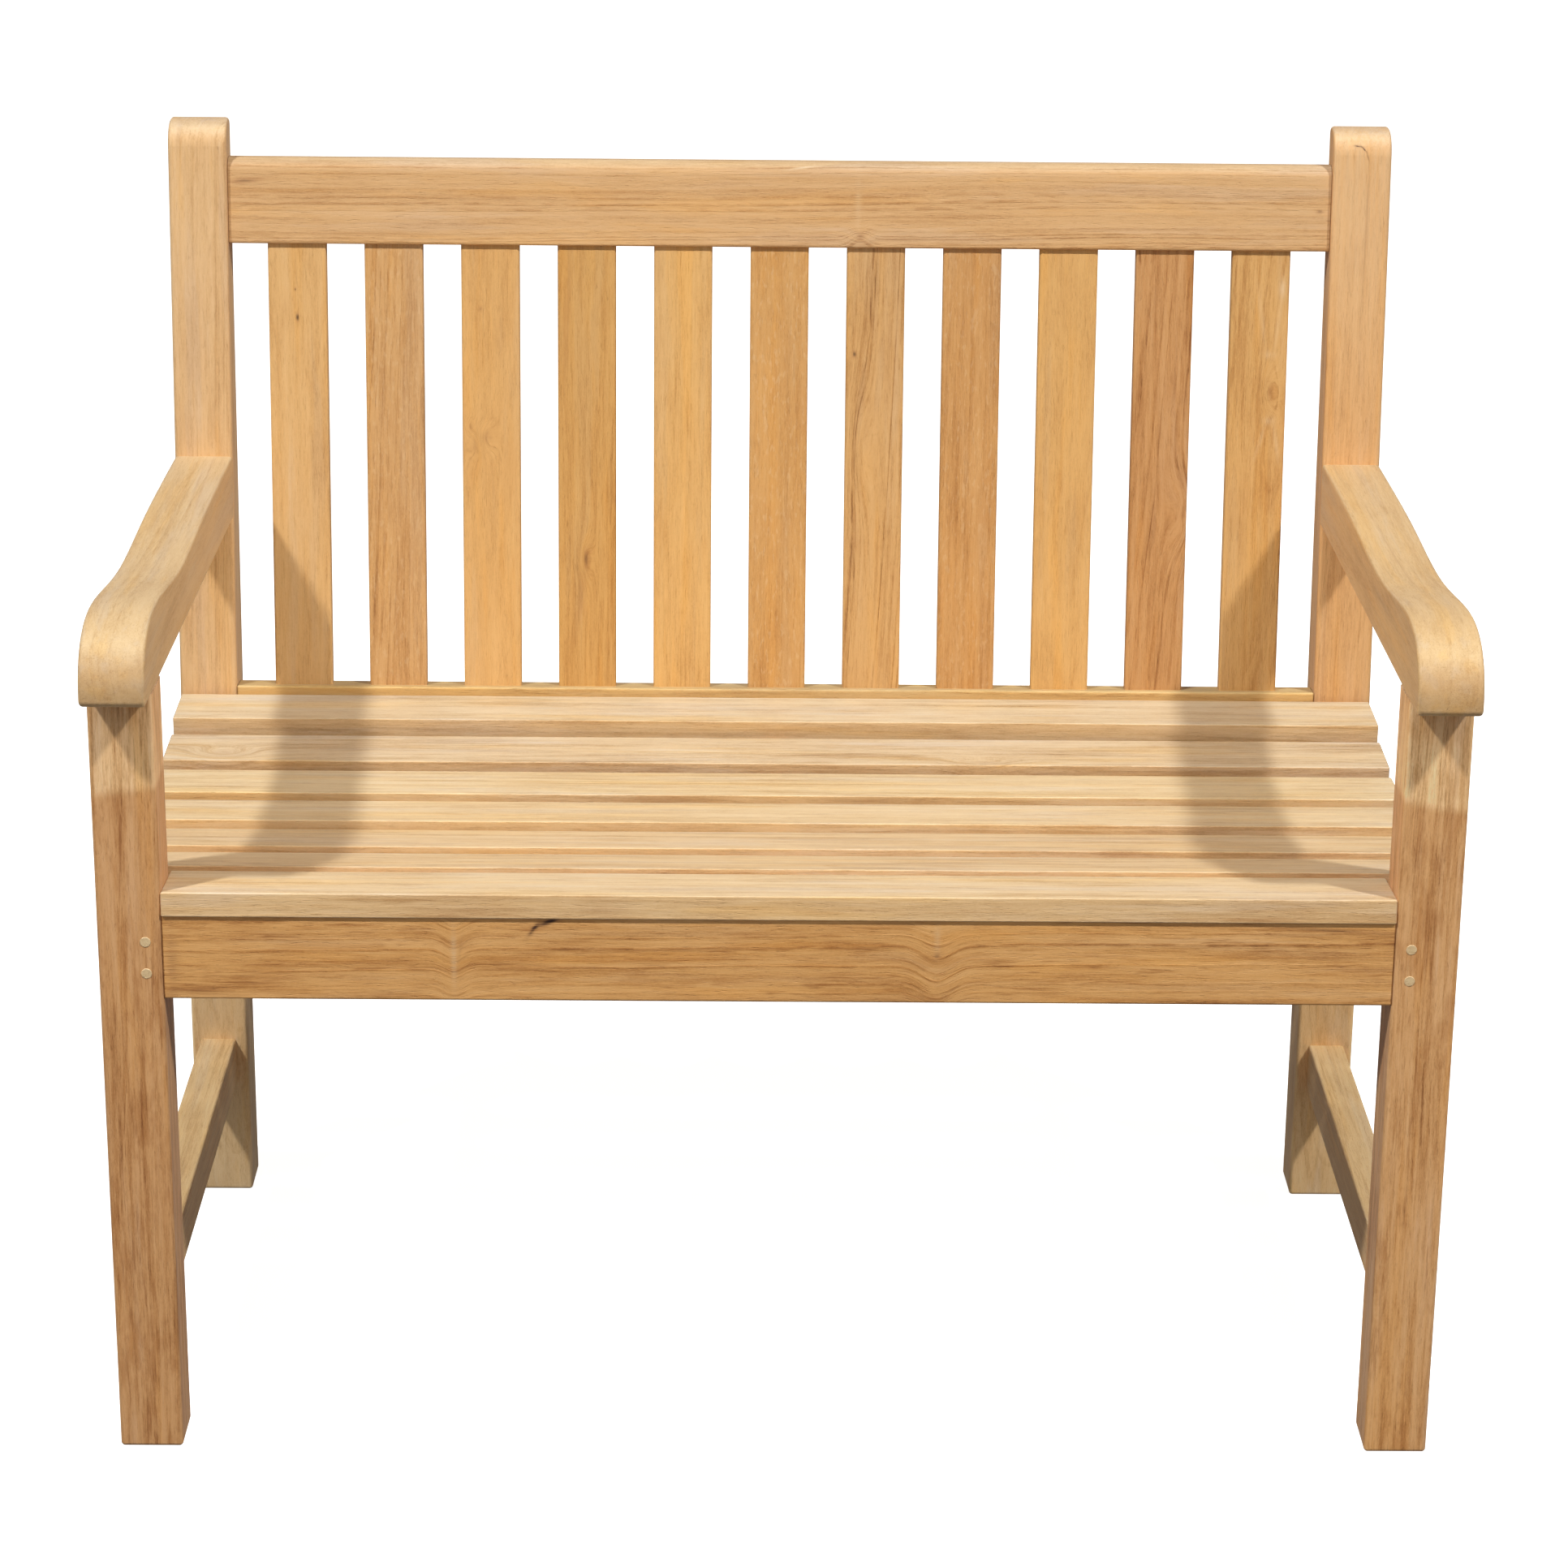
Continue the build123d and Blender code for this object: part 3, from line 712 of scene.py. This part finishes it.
def zinc(name):
    """Plated steel with a dull, uneven passivation."""
    g = Graph(name)
    place = g.add("TexCoord").outputs["Object"]
    cloud = g.noise(place, ZINC_CLOUDS)
    scratch = g.noise(place, ZINC_SCRATCHES)
    g.paint("Base Color", g.ramp(cloud, ((ZINC_CLOUDS.low, ZINC_DULL), (ZINC_CLOUDS.high, ZINC_BRIGHT))))
    g.paint("Roughness", g.spread(scratch, ZINC_SCRATCHES.low, ZINC_SCRATCHES.high, *ZINC_ROUGHNESS))
    g.paint("Metallic", 1.0)
    g.bump(scratch, ZINC_RELIEF, ZINC_RELIEF_STRENGTH)
    return g.material


def board_frame(node, along, across):
    """The matrix from the row frame to a board's own frame, at the middle of its box."""
    low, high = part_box(node)
    turn = Matrix((along, across, along.cross(across))).to_4x4()
    return turn @ Matrix.Translation(-(low + high) / 2)


# The seat slats, from the front one to the rearmost
SEAT_BOARDS = (
    Board(
        (0.76, 0.50, 0.24),
        contrast=0.95,
        rings=0.3,
        ring_width=6,
        streaks=1.25,
        pith=(10, -90),
        marks=(
            Mark(-40, -18, 40, 8, 0, 0.12),
            Mark(-150, 20, 60, 3, 2, 0.10),
            Mark(-235, -31, 45, 5, 0, 0.18),
            Mark(-130, -31, 22, 5, 0, 0.22),
            Mark(350, -31, 32, 4, 0, 0.18),
        ),
    ),
    # Slat 2: the dark heart of its knot near the left end and the dark marks at both ends of its front
    # edge, beside the front legs, are painted shadow of the legs
    Board(
        (0.75, 0.48, 0.22),
        rings=0.35,
        streaks=1.25,
        pith=(-30, -60),
        knots=(Knot(-389, -19, 60, 10, 8, 0.35),),
        marks=(Mark(-400, -28, 55, 4, 0, 0.32), Mark(425, -28, 40, 4, 0, 0.28)),
    ),
    Board(
        (0.75, 0.48, 0.22),
        contrast=0.95,
        rings=0.3,
        streaks=1.25,
        pith=(40, -80),
        marks=(Mark(262, -28, 22, 5, 0, 0.30),),
    ),
    Board(
        (0.77, 0.51, 0.24),
        rings=0.3,
        streaks=1.25,
        pith=(-20, -70),
        marks=(Mark(335, -24, 30, 10, 0, 0.24), Mark(326, -10, 16, 5, 20, -0.25)),
    ),
    Board(
        (0.76, 0.51, 0.24),
        contrast=0.95,
        rings=0.3,
        streaks=1.25,
        pith=(60, -40),
        marks=(Mark(-95, -29, 40, 4, 0, 0.30), Mark(70, -29, 32, 4, 0, 0.25)),
    ),
    Board(
        (0.70, 0.47, 0.24),
        rings=0.4,
        streaks=1.2,
        pith=(-45, -50),
        knots=(Knot(-450, -15, 26, 13, 22, 0.3), Knot(167, -24, 30, 10, 12, 0.2)),
    ),
    Board(
        (0.72, 0.49, 0.25),
        rings=0.35,
        streaks=1.2,
        pith=(30, -60),
    ),
)

# The back slats, from left to right
BACK_BOARDS = (
    Board(
        (0.70, 0.42, 0.165),
        rings=0.35,
        streaks=0.8,
        pith=(8, -60),
        marks=(Mark(124, -0.4, 3.5, 1.3, 0, 0.95), Mark(147, -1.7, 1.4, 0.9, 0, 0.7)),
    ),
    Board(
        (0.63, 0.36, 0.142),
        rings=0.7,
        ring_width=5,
        flecks=0.18,
        pith=(26, -16),
        lean=0.05,
    ),
    Board(
        (0.71, 0.41, 0.147),
        contrast=0.8,
        rings=0.2,
        streaks=0.6,
        pith=(-10, -120),
        knots=(
            Knot(25, -4, 13, 8, 11, 0.35),
            Knot(18, -14, 12, 6, -9, 0.25),
            Knot(34, -17, 7, 4, 5, 0.35),
        ),
        marks=(Mark(132, -8, 2, 1.2, 0, 0.5),),
    ),
    Board(
        (0.62, 0.34, 0.103),
        rings=0.35,
        streaks=1.1,
        pith=(-14, -50),
        knots=(Knot(-76, -1, 18, 6, 9, 0.5),),
        marks=(Mark(120, -17, 60, 3, 3, 0.28), Mark(-105, -4, 30, 3, 8, 0.25)),
    ),
    Board(
        (0.72, 0.42, 0.145),
        rings=0.35,
        ring_width=3.5,
        streaks=0.8,
        pith=(35, -30),
    ),
    Board(
        (0.62, 0.335, 0.111),
        rings=0.25,
        streaks=0.8,
        flecks=0.22,
        pith=(-28, -20),
    ),
    Board(
        (0.64, 0.37, 0.14),
        rings=0.9,
        ring_width=5,
        pith=(-34, -20),
        lean=0.04,
        knots=(Knot(20, -11, 55, 10, 9),),
        marks=(Mark(97, -17, 3, 1.6, 0, 0.8),),
    ),
    Board(
        (0.59, 0.31, 0.105),
        rings=0.35,
        streaks=1.1,
        flecks=0.18,
        pith=(30, -40),
    ),
    Board(
        (0.70, 0.405, 0.14),
        contrast=0.8,
        rings=0.25,
        streaks=0.6,
        pith=(14, -110),
    ),
    Board(
        (0.57, 0.295, 0.108),
        rings=1.0,
        ring_width=5,
        streaks=1.1,
        pith=(-30, -20),
        lean=0.06,
        knots=(Knot(-36, 21, 38, 14, -14), Knot(-36, 21, 8, 4, 2, 0.5)),
    ),
    Board(
        (0.66, 0.375, 0.130),
        rings=0.55,
        ring_width=6,
        pith=(14, -18),
        lean=0.10,
        dashes=0.05,
        knots=(Knot(68, 11.5, 18, 7, 12, 0.35),),
        marks=(
            Mark(154, 18, 8, 3, 0, -0.5),
            Mark(131, 1.5, 24, 1.8, -9, -0.26),
            Mark(124, 15.5, 20, 1.8, 6, -0.26),
            Mark(99, 9.5, 3, 5, 0, -0.28),
            Mark(44, 10.5, 3, 5, 0, -0.28),
            Mark(26, 3.5, 16, 1.8, 16, -0.26),
            Mark(26, 17, 16, 1.8, -10, -0.26),
        ),
    ),
)
LEG_LEFT = Board(
    (0.69, 0.365, 0.146),
    contrast=1.15,
    rings=0.45,
    ring_width=3.5,
    streaks=1.35,
    pith=(-18, -45),
    dashes=0.8,
    blotches=1.0,
    fresh_above=(212, 0.147),
)
LEG_RIGHT = LEG_LEFT._replace(
    colour=(0.76, 0.415, 0.168),
    pith=(22, -40),
    fresh_above=(206, -0.168),
)
# The rear legs get painted floor light on their feet
POST_LEFT = Board(
    (0.72, 0.455, 0.215),
    contrast=0.85,
    rings=0.4,
    streaks=0.8,
    pith=(30, -50),
    dashes=0.1,
    pale_foot=0.6,
    marks=(Mark(450, -14, 10, 2.5, 0, 0.30),),
)

# The right post has a curved crack in three strokes, is paler towards its top, and gets more painted
# floor light on its foot.
POST_RIGHT = POST_LEFT._replace(
    colour=(0.72, 0.41, 0.17),
    pale_foot=1.0,
    marks=(
        Mark(448, -4.4, 3.2, 0.7, 99, 0.8),
        Mark(445.5, 0.9, 3.4, 0.7, 136, 0.8),
        Mark(439.5, 4.1, 4.2, 0.7, 164, 0.8),
        Mark(430, 0, 130, 45, 0, -0.32),
        Mark(395, 5, 60, 0.9, 1, 0.22),
    ),
)

# The arms are sawn with the pith far to the side, so their noses show straight lines.
ARM_LEFT = Board(
    (0.67, 0.44, 0.205),
    contrast=0.8,
    rings=0.35,
    ring_width=7.0,
    streaks=0.7,
    pith=(190, -12),
    lean=0.02,
    # Less painted sheen on the arms' tops
    painted_top_sheen=0.6,
    marks=(Mark(148, 12.5, 100, 0.9, -1.7, 0.35), Mark(130, 8.0, 90, 0.8, -1.7, 0.25)),
)
ARM_RIGHT = ARM_LEFT._replace(
    colour=(0.69, 0.44, 0.195),
    pith=(-170, -15),
    marks=(Mark(-8, -3.5, 100, 1.0, -1.8, 0.30),),
)
STRETCHER = Board((0.88, 0.54, 0.22), rings=0.3, dashes=0.3)
HIDDEN_RAIL = Board((0.62, 0.34, 0.13), streaks=1.2)

# The apron has a pale spike band on the left, a dark slash beside it and a knot right of the middle.
APRON = Board(
    (0.76, 0.40, 0.132),
    contrast=1.15,
    rings=0.7,
    ring_width=8.0,
    streaks=1.3,
    pith=(-85, -25),
    lean=0.01,
    dashes=0.9,
    blotches=0.6,
    seam=True,
    knots=(
        Knot(-239, 0, 10, 70, 7),
        Knot(116, -12, 16, 45, 11),
    ),
    marks=(
        Mark(-181, 23, 6.5, 1.8, 55, 0.9),
        Mark(-169, 30, 10, 2.3, 22, 0.95),
        Mark(-239, 2, 2.0, 20, 0, -0.40),
        Mark(-234, 8, 1.2, 12, -8, 0.22),
        Mark(116, 18, 2.4, 12, 0, -0.25),
        Mark(116, 5, 2.6, 2.2, 0, 0.75),
        Mark(402, 27, 48, 1.8, -3, 0.55),
        Mark(-425, -27, 26, 4, 0, 0.35),
        Mark(-293, -30, 30, 3.5, 0, 0.30),
        Mark(84, -29, 60, 3.5, 0, 0.25),
        Mark(-446, -2, 5, 30, 0, 0.35),
    ),
)
TOP_RAIL = Board(
    (0.66, 0.40, 0.18),
    contrast=0.85,
    rings=0.8,
    ring_width=4.8,
    streaks=0.8,
    pith=(90, -40),
    lean=0.01,
    dashes=0.05,
    blotches=0.15,
    seam=True,
    knots=(Knot(66, -26, 10, 9, 7, 0.5),),
    marks=(
        Mark(64, 0, 2.5, 26, 0, -0.20),
        Mark(443, -2, 3, 1.4, 0, 0.8),
        Mark(415, -22, 5, 2.5, 90, 0.16),
        Mark(432, -18, 4, 2, 90, 0.14),
        Mark(-438, 16.5, 14, 2.2, 6, 0.55),
        Mark(15, 30, 12, 0.8, 8, -0.6),
    ),
)
BOTTOM_RAIL = Board((0.68, 0.42, 0.15), streaks=0.8, pith=(60, -50), seam=True)


def looks():
    """For each node of wood: its look, the direction of its grain and the one across it."""
    table = {
        "front_rail": (APRON, RIGHT, UP),
        "back_top_rail": (TOP_RAIL, RIGHT, RAKED_UP),
        "back_bottom_rail": (BOTTOM_RAIL, RIGHT, RAKED_UP),
        "seat_bearer": (HIDDEN_RAIL, BACKWARD, UP),
        "rear_leg_left": (POST_LEFT, RAKED_UP, RIGHT),
        "rear_leg_right": (POST_RIGHT, RAKED_UP, RIGHT),
        "front_leg_left": (LEG_LEFT, UP, RIGHT),
        "front_leg_right": (LEG_RIGHT, UP, RIGHT),
        "armrest_left": (ARM_LEFT, BACKWARD, RIGHT),
        "armrest_right": (ARM_RIGHT, BACKWARD, RIGHT),
    }
    for side in ("left", "right"):
        table["side_rail_" + side] = (HIDDEN_RAIL, BACKWARD, UP)
        table["stretcher_" + side] = (STRETCHER, BACKWARD, RIGHT)
    for index, look in enumerate(SEAT_BOARDS):
        table[f"seat_slat_{index + 1}"] = (look, RIGHT, BACKWARD)
    for index, look in enumerate(BACK_BOARDS):
        table[f"back_slat_{index + 1:02d}"] = (look, RAKED_UP, RIGHT)
    return table


def dress(node, material):
    """Gives every surface of a CAD node one material."""
    mesh = frame["nodes"][node].data
    mesh.materials.clear()
    mesh.materials.append(material)


def dress_bench():
    """Materials for every node of the bench."""
    for seed, (node, (look, along, across)) in enumerate(looks().items()):
        to_board = board_frame(node, along, across)
        dress(node, wood("teak_" + node, to_board, look, seed + 1))
    dress("front_rail_pegs", dowel("peg_wood", board_frame("front_rail_pegs", BACKWARD, RIGHT)))
    dress("seat_slat_screws", zinc("zinc"))


def aim_camera():
    """The camera at the viewing angle of the reference view."""
    yaw, pitch, roll = (math.radians(a) for a in (CAMERA_YAW, CAMERA_PITCH_DOWN, CAMERA_ROLL))
    level_part = math.cos(pitch)
    forward = Vector((math.sin(yaw) * level_part, math.cos(yaw) * level_part, -math.sin(pitch)))
    level = Vector((math.cos(yaw), -math.sin(yaw), 0.0))
    upright = level.cross(forward)
    right = math.cos(roll) * level + math.sin(roll) * upright
    up = math.cos(roll) * upright - math.sin(roll) * level
    data = bpy.data.cameras.new("camera")
    data.lens = CAMERA_LENS
    camera = bpy.data.objects.new("camera", data)
    turn = Matrix((right, up, -forward)).transposed().to_4x4()
    camera.matrix_world = Matrix.Translation(CAMERA_PLACE) @ turn
    bpy.context.scene.collection.objects.link(camera)
    bpy.context.scene.camera = camera


def add_light(name, place, size, power, target):
    """A square area light that faces a point."""
    data = bpy.data.lights.new(name, "AREA")
    data.size = size
    data.energy = power
    light = bpy.data.objects.new(name, data)
    light.location = place
    light.rotation_mode = "QUATERNION"
    light.rotation_quaternion = (target - Vector(place)).to_track_quat("-Z", "Y")
    bpy.context.scene.collection.objects.link(light)


def light_studio():
    """The two lamps and the fill, aimed at the middle of the bench."""
    middle = (cad_low + cad_high) / 2
    for name, place in zip(("lamp_left", "lamp_right"), LAMP_PLACES):
        add_light(name, place, LAMP_SIZE, LAMP_POWER, middle)
    add_light("fill", FILL_PLACE, FILL_SIZE, FILL_POWER, middle)


def light_room():
    """The room's own light, which changes with height only."""
    world = bpy.data.worlds.new("room")
    world.use_nodes = True
    tree = world.node_tree
    direction = tree.nodes.new("ShaderNodeTexCoord")
    height = tree.nodes.new("ShaderNodeSeparateXYZ")
    rise = tree.nodes.new("ShaderNodeMapRange")
    rise.inputs["From Min"].default_value = -1.0
    ramp = tree.nodes.new("ShaderNodeValToRGB")
    set_ramp(ramp.color_ramp, ROOM)
    tree.links.new(direction.outputs["Generated"], height.inputs[0])
    tree.links.new(height.outputs["Z"], rise.inputs["Value"])
    tree.links.new(rise.outputs[0], ramp.inputs[0])
    tree.links.new(ramp.outputs[0], tree.nodes["Background"].inputs["Color"])
    bpy.context.scene.world = world


def show_plainly():
    """Colours are shown as they are, without the look of film."""
    bpy.context.scene.view_settings.view_transform = "Standard"


def lay_floor():
    """A plain white floor that runs out past the view and colours nothing on the bench."""
    half = FLOOR_SIZE / 2
    corners = [(-half, -half, 0.0), (half, -half, 0.0), (half, half, 0.0), (-half, half, 0.0)]
    mesh = bpy.data.meshes.new("floor")
    mesh.from_pydata(corners, [], [(0, 1, 2, 3)])
    floor = bpy.data.objects.new("floor", mesh)
    bpy.context.scene.collection.objects.link(floor)
    g = Graph("floor_paint")
    g.paint("Base Color", FLOOR_WHITE)
    g.paint("Roughness", FLOOR_ROUGHNESS)
    g.paint("Emission Color", FLOOR_GLOW_WHITE)
    g.paint("Emission Strength", FLOOR_GLOW)
    mesh.materials.append(g.material)
    floor.visible_diffuse = False
    floor.visible_glossy = False


dress_bench()
aim_camera()
light_studio()
light_room()
show_plainly()
lay_floor()
